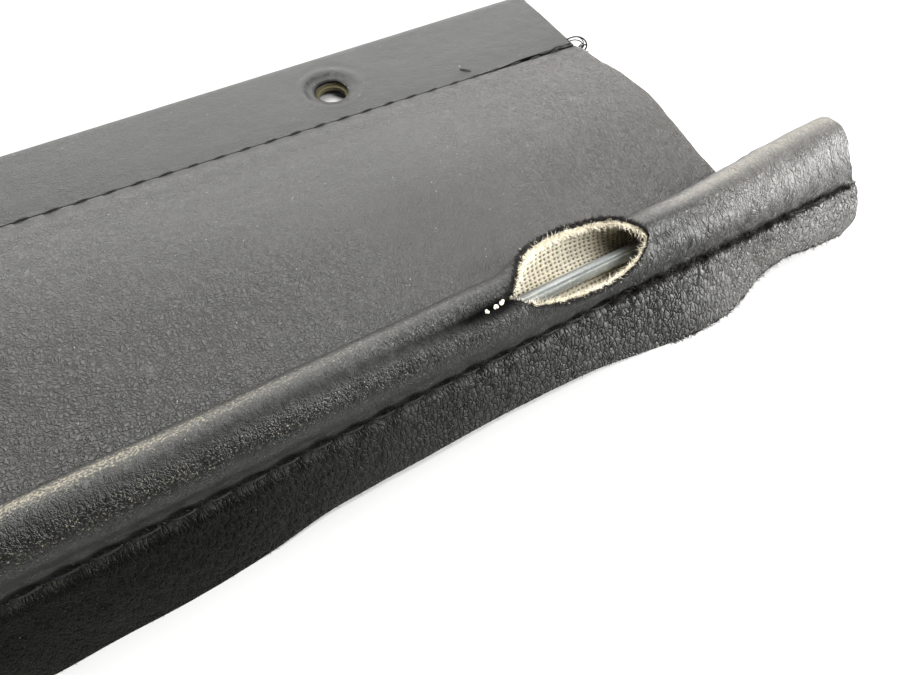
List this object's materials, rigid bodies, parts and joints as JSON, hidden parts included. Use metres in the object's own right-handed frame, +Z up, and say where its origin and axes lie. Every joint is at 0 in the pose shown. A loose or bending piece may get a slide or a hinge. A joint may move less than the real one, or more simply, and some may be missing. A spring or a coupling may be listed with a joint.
{
  "type": "upholstery trim panel",
  "caption": "Sewn leathercloth trim strip: stiffened hem with fastener holes, crowned panel, rod-filled welt with a tear and a raw flange.",
  "frame": {"origin": "middle of the footprint, on the surface that the strip stands on: the foot of the flange in front and the folded edge of the hem at the back", "axes": "+X along the strip, towards the torn end of the welt; +Y from the welt to the hem; +Z up, out of the panel's vinyl face"},
  "size_m": [0.28, 0.099, 0.0228],
  "materials": {
    "vinyl": "satin, grained",
    "knit": "matt, knitted",
    "fibreboard": "matt",
    "steel": "drawn, dull",
    "thread": "matt, twisted"
  },
  "bodies": {
    "panel": {"main_panel_face": "vinyl", "main_panel_backing": "knit", "upper_needle_thread": "thread", "upper_bobbin_thread": "thread", "upper_thread_tail": "thread"},
    "hem": {"hem_strip_face": "vinyl", "hem_strip_backing": "knit", "hem_stiffener": "fibreboard"},
    "welt": {"welt_tube_face": "vinyl", "welt_tube_backing": "knit"},
    "flange": {"front_lip_face": "vinyl", "front_lip_backing": "knit", "back_lip_backing": "knit", "back_lip_face": "vinyl", "lower_needle_thread": "thread", "lower_bobbin_thread": "thread", "back_tack_left": "thread", "back_tack_right": "thread"},
    "rod": {"core_rod": "steel"}
  },
  "joints": [
    {"name": "hem_fold", "type": "hinge", "parent": "panel", "child": "hem", "pos_m": [0, 0.0286, 0.00572], "axis": [0.9994, -0.0332, 0.003], "range_deg": [-35, 95], "stiffness_Nm_per_rad": 0.15},
    {"name": "welt_roll", "type": "hinge", "parent": "panel", "child": "welt", "pos_m": [0, -0.03959, 0.01083], "axis": [1, 0, 0], "range_deg": [0, 60], "stiffness_Nm_per_rad": 0.15},
    {"name": "flange_fold", "type": "hinge", "parent": "welt", "child": "flange", "pos_m": [0, -0.03959, 0.01083], "axis": [1, 0, 0], "range_deg": [-50, 30], "stiffness_Nm_per_rad": 0.08},
    {"name": "rod_slide", "type": "slide", "parent": "welt", "child": "rod", "axis": [1, 0, 0], "range_m": [0, 0.15]}
  ]
}
